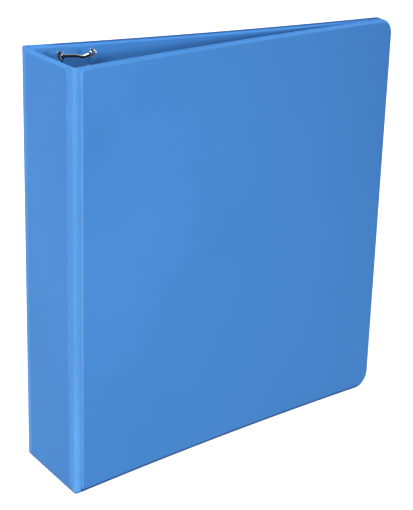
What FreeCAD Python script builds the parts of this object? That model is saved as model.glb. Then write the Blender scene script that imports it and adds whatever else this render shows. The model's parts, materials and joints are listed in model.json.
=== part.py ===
"""Ring binder for letter paper, closed and standing on its lower edge.

The case is three boards sealed between an outer and an inner vinyl skin, with a welded
hinge web each side of the spine. A three-ring D-ring mechanism is riveted to the back cover.

Units are millimetres. +Z is up, +X runs from the spine to the fore edge, and +Y from the front
cover to the back cover. The origin is the centre of the footprint, on the standing surface.
"""

import FreeCAD, Part
import math
import os

V = FreeCAD.Vector
OUT = "parts"

# The case
case_height = 292.0        # standing height over the sealed edges
cover_width = 282.0        # from a hinge fold to the fore edge
spine_width = 69.5         # from one hinge fold to the other
front_lean = 7.4           # degrees that the closed front cover leans in
fore_gap = 5.4             # between the two covers' middle planes at the fore edge
front_bow = 3.3            # how far the front cover is warped inwards at mid width
back_bow = 5.2             # the same for the back cover
corner_radius = 12.0       # outer corners at the fore edge

board_thick = 2.4
skin_thick = 0.4           # one vinyl skin, so the sealed edge is twice this
seal_width = 1.7           # flat weld around each panel
shoulder_width = 1.3       # where the skin climbs from the weld to the face
board_play = 0.4           # from the shoulder's top to the board's edge
spine_fold_zone = 5.6      # flat web from a hinge fold to the spine panel
cover_fold_zone = 3.8      # flat web from a hinge fold to a cover panel
fold_radius = 2.4          # middle of the web, at the fold
web_gap = 0.3              # between the web's free end and the cover that swings
past_panel = 60.0          # cutting tools reach this far either side of a panel, past its bow

# Inner pockets
pocket_height = 138.0
pocket_sheet = 0.3
pocket_air = 0.4           # room under the sheet
pocket_weld = 3.0          # width of the welded border
pocket_margin = 7.0        # from the panel's sealed edge
back_pocket_clear = 12.0   # from the mechanism to the back pocket

# Ring mechanism, in its own frame: u to the fore edge, v off the back cover, w along
mech_from_fold = 32.7      # hinge fold to the mechanism's centre line
plate_length = 256.0
plate_half = 13.2          # half the width of the cover plate
plate_thick = 0.9
plate_crown = 7.6          # height over the lining
plate_edge = 4.3           # height where the crown meets the side wall
plate_standoff = 1.2       # underside over the lining, set by the rivets
lip_width = 1.9            # rolled edge that carries a blade
blade_thick = 1.0
blade_play = 0.3
blade_side_play = 0.25
blade_closed = 5.0         # degrees that each blade dips to the centre when shut
blade_meet = 0.2           # from the centre line to a blade's inner edge
blade_end_play = 1.0       # blade's end inside the plate's end

ring_pitch = 107.95        # letter-size punching, centre to centre
ring_count = 3
wire_radius = 1.9
wire_from_lip = 0.8        # from the wire's side to the plate's rolled edge
ring_height = 48.0         # over the lining, to the top of the wire
post_bend = 6.0            # centre-line radius at the top of the straight post
knee_height = 8.8          # where the curved half leaves the plate
knee_radius = 4.0
knee_turn = 58.0           # degrees
stud_radius = 1.2          # swaged root of a ring half
stud_head_radius = 2.0
stud_head_thick = 0.45
tip_gap = 0.12             # between closed tips, each side
pin_radius = 0.95          # locating pin in the tip
pin_length = 1.3
pin_play = 0.15
slot_play = 0.5            # around the wire in the cover plate
ring_swing = 10.0          # degrees each half opens, for the slots

rivet_from_middle = 86.0
rivet_radius = 2.4
rivet_neck = 3.2           # shoulder that carries the plate
rivet_head = 4.6
rivet_head_thick = 1.1
rivet_play = 0.8           # from the shoulder to the blades
rivet_bore = 1.3           # radius of the hollow, open at the outside
rivet_bore_end = 1.0       # solid metal left under the crown
rivet_neck_gap = 0.2       # from the shoulder to the crown's underside
rivet_head_root = 0.6      # how far the inner head reaches down to meet the arched crown
rivet_head_bevel = 0.55

# Opening levers
pivot_out = 3.2            # lever pivot beyond the plate's end
pivot_height = 5.3
pivot_radius = 1.0
pivot_play = 0.05
pivot_head = 1.7
pivot_head_thick = 0.6
lug_inner = 8.0            # plate lugs, half distance to their inner faces
lug_thick = 0.9
lug_radius = 2.2
lug_root = 4.0             # how far a lug reaches back under the crown
lug_below = 1.3            # from the pivot down to the lug's lower edge
ear_thick = 1.0
ear_play = 0.4             # lever ear to plate lug
ear_behind = 1.9           # ear's inner end, inwards from the pivot
ear_back_rise = 1.9        # its height there, over the pivot
ear_crest = (0.6, 2.2)     # where it meets the finger plate, out and up from the pivot
ear_toe = (3.6, -1.2)      # where its lower edge turns up to the finger plate
ear_under = (4.7, 1.4)     # its outer end
ear_over = (4.4, 2.9)      # the same, inside the finger plate
tongue_under = 0.3         # below the dipped blades
tongue_thick = 0.7
tongue_reach = 5.0         # inwards from the pivot
tongue_half = 3.0
heel = 0.6                 # how far the tongue and ears reach out past the pivot, along their lower edge
finger_reach = 7.6         # pivot to the scooped edge
finger_rise = 3.0
finger_half = 11.0         # half width at the scooped edge
finger_thick = 0.9
finger_start = -1.0        # the finger plate's lower end, out from the pivot: it covers the pin
finger_start_rise = 1.5
finger_outline = ((0.0, 3.6), (0.4, 5.0), (1.2, 6.2), (2.8, 6.9), (4.4, 7.6))   # along it, and its half width
bead_sink = 0.36           # the bead's centre over the plate's lower face
bead_radius = 1.15
roll_reach = 9.9           # pivot to the ends of the rolled sides
roll_radius = 2.2
roll_bore = 1.6
roll_depth = 6.0
roll_start = (1.4, 1.2, 4.6)   # a rolled side's start: outwards from the ears, up and out from the pivot
roll_spread = 1.1          # its end, outwards from the finger plate's corner
roll_end_rise = 4.7

half_thick = board_thick / 2 + skin_thick
wire_from_centre = plate_half - lip_width - wire_radius - wire_from_lip
blade_pivot_u = plate_half - plate_thick - blade_side_play - blade_thick / 2
blade_pivot_v = plate_standoff + plate_thick + blade_play + blade_thick / 2
blade_width = blade_pivot_u - blade_meet
blade_half_length = plate_length / 2 - blade_end_play
back_lean = math.degrees(math.asin((spine_width - fore_gap) / cover_width
                                   - math.sin(math.radians(front_lean))))


def box(x0, x1, y0, y1, z0, z1):
    return Part.makeBox(x1 - x0, y1 - y0, z1 - z0, V(x0, y0, z0))


def rod(radius, start, end):
    """Round bar from one point to another."""
    along = end - start
    return Part.makeCylinder(radius, along.Length, start, along)


def placement(x_axis, y_axis, base):
    """Frame with the given X and Y axes, right-handed."""
    z_axis = x_axis.cross(y_axis)
    return FreeCAD.Placement(FreeCAD.Matrix(
        x_axis.x, y_axis.x, z_axis.x, base.x,
        x_axis.y, y_axis.y, z_axis.y, base.y,
        x_axis.z, y_axis.z, z_axis.z, base.z,
        0, 0, 0, 1))


def cover_frame(side, lean):
    """Cover frame: X along the cover from its fold, Y inwards. side is -1 at the front, 1 at the back."""
    angle = math.radians(lean)
    along = V(math.cos(angle), -side * math.sin(angle), 0)
    inwards = V(-math.sin(angle), -side * math.cos(angle), 0)
    return placement(along, inwards, V(0, side * spine_width / 2, case_height / 2))


def spine_frame():
    """Spine frame: X across the spine towards the back, Y into the case, middle at the origin."""
    return placement(V(0, -1, 0), V(1, 0, 0), V(0, 0, case_height / 2))


def placed(shape, frame):
    moved = shape.copy()
    moved.Placement = frame.multiply(moved.Placement)
    return moved


# Panels

def bow_circle(bow):
    """Radius and centre of the arc that a cover's middle plane follows."""
    radius = (cover_width ** 2 / 4 + bow ** 2) / (2 * bow)
    return radius, V(cover_width / 2, bow - radius, 0)


def slab(low, high, bow):
    """Everything between two offsets from a panel's middle plane, wider and taller than the panel."""
    if not bow:
        return box(-cover_width, cover_width, low, high, -case_height, case_height)
    radius, centre = bow_circle(bow)
    edges = []
    ends = []
    for offset in (low, high):
        r = radius + offset
        left, right = (centre + V(x, math.sqrt(r * r - x * x), 0)
                       for x in (-cover_width * 0.6, cover_width * 0.6))
        edges.append(Part.Arc(left, centre + V(0, r, 0), right).toShape())
        ends.append((left, right))
    sides = [Part.makeLine(ends[0][i], ends[1][i]) for i in (0, 1)]
    face = Part.Face(Part.Wire(Part.__sortEdges__(edges + sides)))
    return face.extrude(V(0, 0, 2 * case_height)).translated(V(0, 0, -case_height))


def outline(near, far, half_tall, radius):
    """Prism over a panel's outline, rounded at the far corners where radius is given."""
    if radius <= 0:
        return box(near, far, -past_panel, past_panel, -half_tall, half_tall)
    k = radius * (1 - math.sqrt(0.5))
    corners = []
    for z in (-1, 1):
        corners.append(Part.Arc(V(far - radius, -past_panel, z * half_tall),
                                V(far - k, -past_panel, z * (half_tall - k)),
                                V(far, -past_panel, z * (half_tall - radius))).toShape())
    lines = [
        Part.makeLine(V(near, -past_panel, -half_tall), V(near, -past_panel, half_tall)),
        Part.makeLine(V(near, -past_panel, -half_tall), V(far - radius, -past_panel, -half_tall)),
        Part.makeLine(V(near, -past_panel, half_tall), V(far - radius, -past_panel, half_tall)),
        Part.makeLine(V(far, -past_panel, -half_tall + radius), V(far, -past_panel, half_tall - radius)),
    ]
    face = Part.Face(Part.Wire(Part.__sortEdges__(corners + lines)))
    return face.extrude(V(0, 2 * past_panel, 0))


class Panel:
    """A board in its two skins. near and far are the sealed edges, bow is 0 for a flat panel.

    near_seal is the flat weld's width on the near side; both sides of the spine are near sides.
    """

    def __init__(self, near, far, bow, radius, near_seal, far_seal):
        self.near, self.far, self.bow, self.radius = near, far, bow, radius
        self.near_seal, self.far_seal = near_seal, far_seal

    def inset(self, extra):
        """Outline this far inside the flat weld, or the sealed edge itself where extra is None."""
        if extra is None:
            return outline(self.near, self.far, case_height / 2, self.radius)
        return outline(self.near + self.near_seal + extra, self.far - self.far_seal - extra,
                       case_height / 2 - seal_width - extra, self.radius - seal_width - extra)

    def board(self):
        faces = slab(-board_thick / 2, board_thick / 2, self.bow)
        return faces.common(self.inset(shoulder_width + board_play))

    def skin(self, side):
        """Outer skin for side -1, inner lining for side 1: a shallow tray with a flat rim."""
        low, high = sorted((0, side * half_thick))
        crown = slab(low, high, self.bow).common(self.inset(0))
        crown = crown.Solids[0].makeFillet(shoulder_width, self.face_edges(crown.Solids[0], side))
        low, high = sorted((0, side * skin_thick))
        rim = slab(low, high, self.bow).common(self.inset(None))
        return crown.fuse(rim).cut(self.board()).removeSplitter()

    def face_edges(self, solid, side):
        """Edges around the tray's face, at half the panel's thickness from the middle plane."""
        found = []
        for edge in solid.Edges:
            offsets = []
            for share in (0.0, 0.5, 1.0):
                first, last = edge.ParameterRange
                point = edge.valueAt(first + share * (last - first))
                offsets.append(self.offset_of(point))
            if all(abs(o - side * half_thick) < 1e-3 for o in offsets):
                found.append(edge)
        return found

    def offset_of(self, point):
        if not self.bow:
            return point.y
        radius, centre = bow_circle(self.bow)
        return (V(point.x, point.y, 0) - centre).Length - radius


def cover_panel(bow):
    return Panel(cover_fold_zone, cover_width, bow, corner_radius, 0.0, seal_width)


def spine_panel():
    half = spine_width / 2 - spine_fold_zone
    return Panel(-half, half, 0.0, 0.0, 0.0, 0.0)


# Hinge webs

def web(side, lean):
    """Welded web round one fold, from the spine panel to just short of the cover."""
    angle = math.radians(lean)
    turn = math.pi / 2 + angle
    tangent = fold_radius * math.tan(turn / 2)
    fold = V(0, side * spine_width / 2, 0)
    to_spine = V(0, -side, 0)
    to_cover = V(math.cos(angle), -side * math.sin(angle), 0)
    bisector = (to_spine + to_cover).normalize()
    centre = fold + bisector * (fold_radius / math.cos(turn / 2))
    across = {"spine": V(1, 0, 0), "cover": V(-math.sin(angle), -side * math.cos(angle), 0)}
    edges = []
    ends = {"spine": [], "cover": []}
    for offset in (-skin_thick, skin_thick):
        bend = {"spine": fold + to_spine * tangent + across["spine"] * offset,
                "cover": fold + to_cover * tangent + across["cover"] * offset}
        far = {"spine": fold + to_spine * spine_fold_zone + across["spine"] * offset,
               "cover": fold + to_cover * (cover_fold_zone - web_gap) + across["cover"] * offset}
        middle = centre - bisector * (fold_radius - offset)
        edges.append(Part.Arc(bend["spine"], middle, bend["cover"]).toShape())
        for end in ("spine", "cover"):
            edges.append(Part.makeLine(bend[end], far[end]))
            ends[end].append(far[end])
    edges += [Part.makeLine(*ends[end]) for end in ("spine", "cover")]
    face = Part.Face(Part.Wire(Part.__sortEdges__(edges)))
    return face.extrude(V(0, 0, case_height))


# Inner pockets

def pocket(panel, near):
    """Open-topped pocket low on a cover's lining: a sheet welded along three sides."""
    far = panel.far - pocket_margin
    bottom = -case_height / 2 + pocket_margin
    top = bottom + pocket_height
    face = half_thick
    area = box(near, far, -past_panel, past_panel, bottom, top)
    inner = box(near + pocket_weld, far - pocket_weld, -past_panel, past_panel, bottom + pocket_weld, top)
    full = slab(face, face + pocket_air + pocket_sheet, panel.bow).common(area)
    hollow = slab(face, face + pocket_air, panel.bow).common(inner)
    return full.cut(hollow)


# Mechanism: cover plate, blades and rings

def crown_radius():
    rise = plate_crown - plate_edge
    return (plate_half ** 2 + rise ** 2) / (2 * rise)


def crown_height(u, depth=0.0):
    """Height of the crown's surface, or of one that far under it, at u."""
    radius = crown_radius()
    return plate_crown - radius + math.sqrt((radius - depth) ** 2 - u * u)


def plate_section():
    """Closed outline of the cover plate: arched crown, side walls and rolled lips."""
    wall = plate_half - plate_thick
    lip = plate_half - lip_width
    low, lip_top = plate_standoff, plate_standoff + plate_thick
    outer = Part.Arc(V(-plate_half, plate_edge, 0), V(0, plate_crown, 0), V(plate_half, plate_edge, 0))
    inner_edge = crown_height(wall, plate_thick)
    inner = Part.Arc(V(-wall, inner_edge, 0), V(0, plate_crown - plate_thick, 0), V(wall, inner_edge, 0))
    edges = [outer.toShape(), inner.toShape()]
    for side in (-1, 1):
        corners = [V(side * plate_half, plate_edge, 0), V(side * plate_half, low, 0), V(side * lip, low, 0),
                   V(side * lip, lip_top, 0), V(side * wall, lip_top, 0), V(side * wall, inner_edge, 0)]
        edges += [Part.makeLine(a, b) for a, b in zip(corners, corners[1:])]
    return Part.Face(Part.Wire(Part.__sortEdges__(edges)))


def ring_places():
    return [(i - (ring_count - 1) / 2) * ring_pitch for i in range(ring_count)]


def wire_slot(side, w):
    """Opening in the cover plate for one ring half, long enough for its swing."""
    swing = (plate_crown - blade_pivot_v) * math.sin(math.radians(ring_swing))
    inner = wire_from_centre - wire_radius - slot_play
    outer = wire_from_centre + wire_radius + slot_play + swing
    half = wire_radius + slot_play
    low, high = sorted((side * inner, side * outer))
    return box(low, high, blade_pivot_v + blade_thick, plate_crown + 1, w - half, w + half)


def pivot_w():
    return plate_length / 2 + pivot_out


def lug(side, end):
    """Plate lug that holds one end of a lever's pivot pin."""
    u0, u1 = sorted((side * lug_inner, side * (lug_inner + lug_thick)))
    root = plate_length / 2 - lug_root
    under_crown = crown_height(lug_inner + lug_thick, plate_thick / 2)
    low = pivot_height - lug_below
    bar = box(u0, u1, low, under_crown, min(end * root, end * pivot_w()), max(end * root, end * pivot_w()))
    eye = rod(lug_radius, V(u0, pivot_height, end * pivot_w()), V(u1, pivot_height, end * pivot_w()))
    nose = box(u0, u1, 0, low, -plate_length, plate_length)
    return bar.fuse(eye).cut(nose)


def cover_plate():
    plate = plate_section().extrude(V(0, 0, plate_length)).translated(V(0, 0, -plate_length / 2))
    for w in ring_places():
        for side in (-1, 1):
            plate = plate.cut(wire_slot(side, w))
    for w in (-rivet_from_middle, rivet_from_middle):
        plate = plate.cut(rod(rivet_radius, V(0, 0, w), V(0, plate_crown + 1, w)))
    for end in (-1, 1):
        for side in (-1, 1):
            plate = plate.fuse(lug(side, end))
        plate = plate.cut(rod(pivot_radius, V(-plate_half, pivot_height, end * pivot_w()),
                              V(plate_half, pivot_height, end * pivot_w())))
    return plate.removeSplitter()


def blade_blank(side):
    """One carrier blade, closed: it dips from its rounded outer edge to the centre line."""
    half = blade_half_length
    u0, u1 = sorted((side * blade_pivot_u, side * blade_meet))
    strip = box(u0, u1, blade_pivot_v - blade_thick / 2, blade_pivot_v + blade_thick / 2, -half, half)
    edge = rod(blade_thick / 2, V(side * blade_pivot_u, blade_pivot_v, -half),
               V(side * blade_pivot_u, blade_pivot_v, half))
    blank = strip.fuse(edge)
    blank.rotate(V(side * blade_pivot_u, blade_pivot_v, 0), V(0, 0, side), blade_closed)
    return blank


def stud(side, w):
    """Swaged root of a ring half: it passes through the blade and spreads under it."""
    top = V(side * wire_from_centre, blade_pivot_v + blade_thick, w)
    dip = (blade_pivot_u - wire_from_centre) * math.sin(math.radians(blade_closed))
    under = blade_pivot_v - dip - blade_thick / 2
    shank = rod(stud_radius, V(top.x, under - stud_head_thick / 2, w), top)
    head = rod(stud_head_radius, V(top.x, under - stud_head_thick, w), V(top.x, under + blade_thick / 2, w))
    return shank, head


def blade(side):
    shape = blade_blank(side)
    for w in ring_places():
        shape = shape.cut(stud(side, w)[0])
    for w in (-rivet_from_middle, rivet_from_middle):
        shape = shape.cut(rod(rivet_neck + rivet_play, V(0, 0, w), V(0, plate_crown, w)))
    return shape


def swept_wire(edges, start, direction):
    path = Part.Wire(edges)
    profile = Part.Wire(Part.makeCircle(wire_radius, start, direction))
    return path.makePipeShell([profile], True, False)


def post_half(w):
    """Straight side of a ring, towards the fore edge, with the bend at its top."""
    top = ring_height - wire_radius
    u = wire_from_centre
    foot = V(u, blade_pivot_v, w)
    bend_low, bend_end = V(u, top - post_bend, w), V(u - post_bend, top, w)
    k = post_bend * math.sqrt(0.5)
    middle = V(u - post_bend + k, top - post_bend + k, w)
    edges = [Part.makeLine(foot, bend_low), Part.Arc(bend_low, middle, bend_end).toShape(),
             Part.makeLine(bend_end, V(tip_gap, top, w))]
    shape = rooted(swept_wire(edges, foot, V(0, 1, 0)), 1, w)
    return shape.cut(rod(pin_radius + pin_play, V(0, top, w), V(tip_gap + pin_length + pin_play, top, w)))


def curved_half(w):
    """Curved side of a ring, towards the spine: a knee, a long arc and a short level top."""
    top = ring_height - wire_radius
    turn = math.radians(knee_turn)
    u = -wire_from_centre
    foot, knee_start = V(u, blade_pivot_v, w), V(u, knee_height, w)

    def on_knee(angle):
        return V(u - knee_radius * (1 - math.cos(angle)), knee_height + knee_radius * math.sin(angle), w)

    knee_end = on_knee(turn)
    radius = (top - knee_end.y) / (1 + math.sin(turn))
    centre = knee_end + V(math.cos(turn), math.sin(turn), 0) * radius
    halfway = (turn + math.pi / 2) / 2
    arc_middle = centre + V(-math.cos(turn - halfway), -math.sin(turn - halfway), 0) * radius
    edges = [Part.makeLine(foot, knee_start),
             Part.Arc(knee_start, on_knee(turn / 2), knee_end).toShape(),
             Part.Arc(knee_end, arc_middle, centre + V(0, radius, 0)).toShape(),
             Part.makeLine(centre + V(0, radius, 0), V(-tip_gap, top, w))]
    shape = rooted(swept_wire(edges, foot, V(0, 1, 0)), -1, w)
    return shape.fuse(rod(pin_radius, V(-tip_gap - 1, top, w), V(-tip_gap + pin_length, top, w)))


def rooted(wire, side, w):
    """Trims a ring half to its blade and adds the swaged root."""
    shank, head = stud(side, w)
    blank = blade_blank(side)
    return wire.cut(blank).fuse(shank).fuse(head.cut(blank)).removeSplitter()


def rivet(w):
    """Hollow rivet: head on the plate, shoulder under it, shank through the cover, head outside."""
    outside = -2 * half_thick
    under_crown = plate_crown - plate_thick
    shank = rod(rivet_radius, V(0, outside - rivet_head_thick / 2, w), V(0, plate_crown + rivet_head_thick / 2, w))
    neck = rod(rivet_neck, V(0, 0, w), V(0, under_crown - rivet_neck_gap, w))
    crown_blank = rod(rivet_head, V(0, plate_crown - rivet_head_root, w), V(0, plate_crown + rivet_head_thick, w))
    plate_solid = plate_section().extrude(V(0, 0, plate_length)).translated(V(0, 0, -plate_length / 2))
    top_head = crown_blank.cut(plate_solid)
    top_edge = [e for e in top_head.Edges
                if abs(e.BoundBox.YMin - plate_crown - rivet_head_thick) < 1e-3
                and abs(e.BoundBox.YMax - plate_crown - rivet_head_thick) < 1e-3]
    top_head = top_head.makeChamfer(rivet_head_bevel, top_edge)
    outer_head = rod(rivet_head, V(0, outside - rivet_head_thick, w), V(0, outside, w))
    outer_edge = [e for e in outer_head.Edges
                  if abs(e.BoundBox.YMin - outside + rivet_head_thick) < 1e-3
                  and abs(e.BoundBox.YMax - outside + rivet_head_thick) < 1e-3]
    outer_head = outer_head.makeChamfer(rivet_head_bevel, outer_edge)
    shape = shank.fuse(neck).fuse(top_head).fuse(outer_head)
    bore = rod(rivet_bore, V(0, outside - rivet_head_thick, w), V(0, plate_crown - rivet_bore_end, w))
    return shape.cut(bore).removeSplitter()


# Opening levers

def side_plate(points, u0, u1):
    """Plate across u with the given side outline, in (out from the pivot, up from the pivot)."""
    corners = [V(u0, pivot_height + y, pivot_w() + x) for x, y in points]
    return Part.Face(Part.makePolygon(corners + corners[:1])).extrude(V(u1 - u0, 0, 0))


def lever():
    """Upper lever: ears on the pivot, tongue under the blades, scooped finger plate with rolled sides."""
    ear_out = lug_inner - ear_play
    ear_in = ear_out - ear_thick
    dip = blade_width * math.sin(math.radians(blade_closed))
    tongue_top = blade_pivot_v - dip - blade_thick / 2 - tongue_under - pivot_height
    tongue_low = tongue_top - tongue_thick
    ear = [(-ear_behind, tongue_low), (heel, tongue_low), ear_toe, ear_under, ear_over, ear_crest,
           (-ear_behind, ear_back_rise)]
    shape = side_plate(ear, ear_in, ear_out).fuse(side_plate(ear, -ear_out, -ear_in))
    tongue = [(-ear_behind, tongue_low), (heel, tongue_low), (heel, tongue_top), (-ear_behind, tongue_top)]
    shape = shape.fuse(side_plate(tongue, -ear_out, ear_out))
    tip = [(-tongue_reach, tongue_low), (0, tongue_low), (0, tongue_top), (-tongue_reach, tongue_top)]
    shape = shape.fuse(side_plate(tip, -tongue_half, tongue_half))
    shape = shape.fuse(finger_plate())
    for side in (-1, 1):
        start, end = roll_line(side, ear_out)
        shape = shape.fuse(rod(roll_radius, start, end))
        mouth = (start - end).normalize() * roll_depth
        shape = shape.cut(rod(roll_bore, end + mouth, end - mouth))
    shape = shape.fuse(finger_bead())
    pin_hole = rod(pivot_radius + pivot_play, V(-lug_inner, pivot_height, pivot_w()),
                   V(lug_inner, pivot_height, pivot_w()))
    return shape.cut(pin_hole).removeSplitter()


def finger_plate():
    """Shield-shaped plate over the ears and the pin, out to the scooped edge."""
    slope = math.atan2(finger_rise - finger_start_rise, finger_reach - finger_start)
    start = V(0, pivot_height + finger_start_rise, pivot_w() + finger_start)
    length = (finger_reach - finger_start) / math.cos(slope)
    corners = list(finger_outline) + [(length, finger_half)]
    outline_points = [V(u, 0, w) for w, u in corners] + [V(-u, 0, w) for w, u in reversed(corners)]
    plate = Part.Face(Part.makePolygon(outline_points + outline_points[:1])).extrude(V(0, finger_thick, 0))
    plate.rotate(V(0, 0, 0), V(1, 0, 0), -math.degrees(slope))
    return plate.translated(start)


def roll_line(side, root_half):
    """Centre line of a rolled side, from beside the ears to its free end."""
    beside, up, out = roll_start
    start = V(side * (root_half + beside), pivot_height + up, pivot_w() + out)
    end = V(side * (finger_half + roll_spread), pivot_height + roll_end_rise, pivot_w() + roll_reach)
    return start, end


def finger_bead():
    """Rolled rim of the scooped edge."""
    y = pivot_height + finger_rise + bead_sink
    w = pivot_w() + finger_reach
    return rod(bead_radius, V(-finger_half, y, w), V(finger_half, y, w))


def pivot_pin():
    end = lug_inner + lug_thick
    shape = rod(pivot_radius, V(-end, pivot_height, pivot_w()), V(end, pivot_height, pivot_w()))
    for side in (-1, 1):
        shape = shape.fuse(rod(pivot_head, V(side * end, pivot_height, pivot_w()),
                               V(side * (end + pivot_head_thick), pivot_height, pivot_w())))
    return shape.removeSplitter()


# The assembly

def mechanism_frame():
    """Mechanism frame: X along u, Y off the lining, middle of the case's height."""
    radius, centre = bow_circle(back_bow)
    angle = math.asin((mech_from_fold - cover_width / 2) / radius)
    base = centre + V(math.sin(angle), math.cos(angle), 0) * (radius + half_thick)
    local = placement(V(math.cos(angle), -math.sin(angle), 0), V(math.sin(angle), math.cos(angle), 0), base)
    return cover_frame(1, back_lean).multiply(local)


def build():
    """Every sub-part by node name, with the spine's middle plane at x = 0."""
    nodes = {}
    front, back, spine = cover_frame(-1, front_lean), cover_frame(1, back_lean), spine_frame()
    mech = mechanism_frame()
    holes = [placed(rod(rivet_radius, V(0, -4 * half_thick, w), V(0, plate_crown, w)), mech)
             for w in (-rivet_from_middle, rivet_from_middle)]

    for name, panel, frame in (("front", cover_panel(front_bow), front), ("back", cover_panel(back_bow), back),
                               ("spine", spine_panel(), spine)):
        layers = {"board": panel.board(), "outer_skin": panel.skin(-1), "lining": panel.skin(1)}
        for layer, shape in layers.items():
            shape = placed(shape, frame)
            if name == "back":
                for hole in holes:
                    shape = shape.cut(hole)
            nodes[f"{name}_{layer}"] = shape

    nodes["front_hinge_web"] = web(-1, front_lean)
    nodes["back_hinge_web"] = web(1, back_lean)
    nodes["front_pocket"] = placed(pocket(cover_panel(front_bow), cover_fold_zone + pocket_margin), front)
    past_mechanism = mech_from_fold + plate_half + back_pocket_clear
    nodes["back_pocket"] = placed(pocket(cover_panel(back_bow), past_mechanism), back)

    nodes["ring_cover_plate"] = placed(cover_plate(), mech)
    nodes["spine_side_blade"] = placed(blade(-1), mech)
    nodes["fore_side_blade"] = placed(blade(1), mech)
    for place, w in zip(("upper", "middle", "lower"), ring_places()):
        nodes[f"{place}_ring_curved_half"] = placed(curved_half(w), mech)
        nodes[f"{place}_ring_post_half"] = placed(post_half(w), mech)
    for place, w in (("upper", -rivet_from_middle), ("lower", rivet_from_middle)):
        nodes[f"{place}_rivet"] = placed(rivet(w), mech)
    turned = FreeCAD.Placement(V(0, 0, 0), FreeCAD.Rotation(V(0, 1, 0), 180))
    for place, frame in (("upper", mech.multiply(turned)), ("lower", mech)):
        nodes[f"{place}_lever"] = placed(lever(), frame)
        nodes[f"{place}_lever_pin"] = placed(pivot_pin(), frame)
    return nodes


def report_places(origin):
    """Prints the joint axes and mount places from the given origin, in millimetres."""
    mech = mechanism_frame()
    turned = FreeCAD.Placement(V(0, 0, 0), FreeCAD.Rotation(V(0, 1, 0), 180))
    places = {
        "front hinge": V(0, -spine_width / 2, 0),
        "back hinge": V(0, spine_width / 2, 0),
        "spine side blade pivot": mech.multVec(V(-blade_pivot_u, blade_pivot_v, 0)),
        "fore side blade pivot": mech.multVec(V(blade_pivot_u, blade_pivot_v, 0)),
        "lower lever pivot": mech.multVec(V(0, pivot_height, pivot_w())),
        "upper lever pivot": mech.multiply(turned).multVec(V(0, pivot_height, pivot_w())),
        "mechanism base": mech.Base,
        "upper post middle": mech.multVec(V(wire_from_centre, ring_height / 2, ring_places()[0])),
        "middle post middle": mech.multVec(V(wire_from_centre, ring_height / 2, ring_places()[1])),
        "lower post middle": mech.multVec(V(wire_from_centre, ring_height / 2, ring_places()[2])),
    }
    for name, point in places.items():
        place = point - origin
        print(f"{name}: {place.x:.4f} {place.y:.4f} {place.z:.4f}")
    for name, axis in (("u", V(1, 0, 0)), ("v", V(0, 1, 0))):
        direction = mech.Rotation.multVec(axis)
        print(f"mechanism {name} axis: {direction.x:.6f} {direction.y:.6f} {direction.z:.6f}")


def footprint_centre(shapes):
    """Centre of the whole binder's footprint, on the standing surface."""
    whole = Part.makeCompound(shapes).optimalBoundingBox(False)
    return V((whole.XMin + whole.XMax) / 2, (whole.YMin + whole.YMax) / 2, whole.ZMin)


def main():
    os.makedirs(OUT, exist_ok=True)
    nodes = build()
    origin = footprint_centre(list(nodes.values()))
    for name, shape in nodes.items():
        if not shape.isValid():
            raise ValueError(f"{name} is not a valid solid")
        shape.translated(-origin).exportStep(os.path.join(OUT, name + ".step"))
        print(f"{name}: {len(shape.Solids)} solid, {shape.Volume:.1f} mm3")
    report_places(origin)


main()
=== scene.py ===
import bmesh
import bpy
import json
import math
import numpy as np
from mathutils import Matrix, Vector


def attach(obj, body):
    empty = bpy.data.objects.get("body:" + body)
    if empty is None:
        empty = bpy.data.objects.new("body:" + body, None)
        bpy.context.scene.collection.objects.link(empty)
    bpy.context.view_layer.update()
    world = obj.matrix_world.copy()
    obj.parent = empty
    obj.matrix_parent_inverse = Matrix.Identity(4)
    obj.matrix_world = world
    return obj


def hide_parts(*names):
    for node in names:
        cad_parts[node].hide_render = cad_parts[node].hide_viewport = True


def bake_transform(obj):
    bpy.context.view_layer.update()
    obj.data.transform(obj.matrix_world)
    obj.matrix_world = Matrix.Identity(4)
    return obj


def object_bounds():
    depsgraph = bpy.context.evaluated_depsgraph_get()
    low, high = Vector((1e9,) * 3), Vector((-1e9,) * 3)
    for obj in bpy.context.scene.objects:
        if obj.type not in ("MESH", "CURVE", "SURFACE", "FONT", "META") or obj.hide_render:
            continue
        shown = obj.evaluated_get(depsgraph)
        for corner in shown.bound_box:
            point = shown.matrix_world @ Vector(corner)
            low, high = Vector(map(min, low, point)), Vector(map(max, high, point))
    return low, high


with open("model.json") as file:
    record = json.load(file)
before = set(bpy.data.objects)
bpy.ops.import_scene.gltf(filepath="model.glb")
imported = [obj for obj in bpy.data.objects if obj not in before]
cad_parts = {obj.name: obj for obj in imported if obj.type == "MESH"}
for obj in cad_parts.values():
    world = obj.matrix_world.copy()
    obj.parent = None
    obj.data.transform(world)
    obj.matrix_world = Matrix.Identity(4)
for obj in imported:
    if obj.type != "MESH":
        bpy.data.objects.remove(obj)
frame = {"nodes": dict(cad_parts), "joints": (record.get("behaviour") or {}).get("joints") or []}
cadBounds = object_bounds()
mm = 0.001
joints = {joint["name"]: joint for joint in frame["joints"]}


def smoothRise(t):
    # 0 below 0, 1 above 1, with level ends
    t = np.clip(t, 0.0, 1.0)
    return t * t * (3.0 - 2.0 * t)


def within(distance, zone):
    # 1 close to an edge, 0 beyond its zone, which is given as (reach, softness)
    reach, softness = zone
    return smoothRise((reach - distance) / softness)


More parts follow.
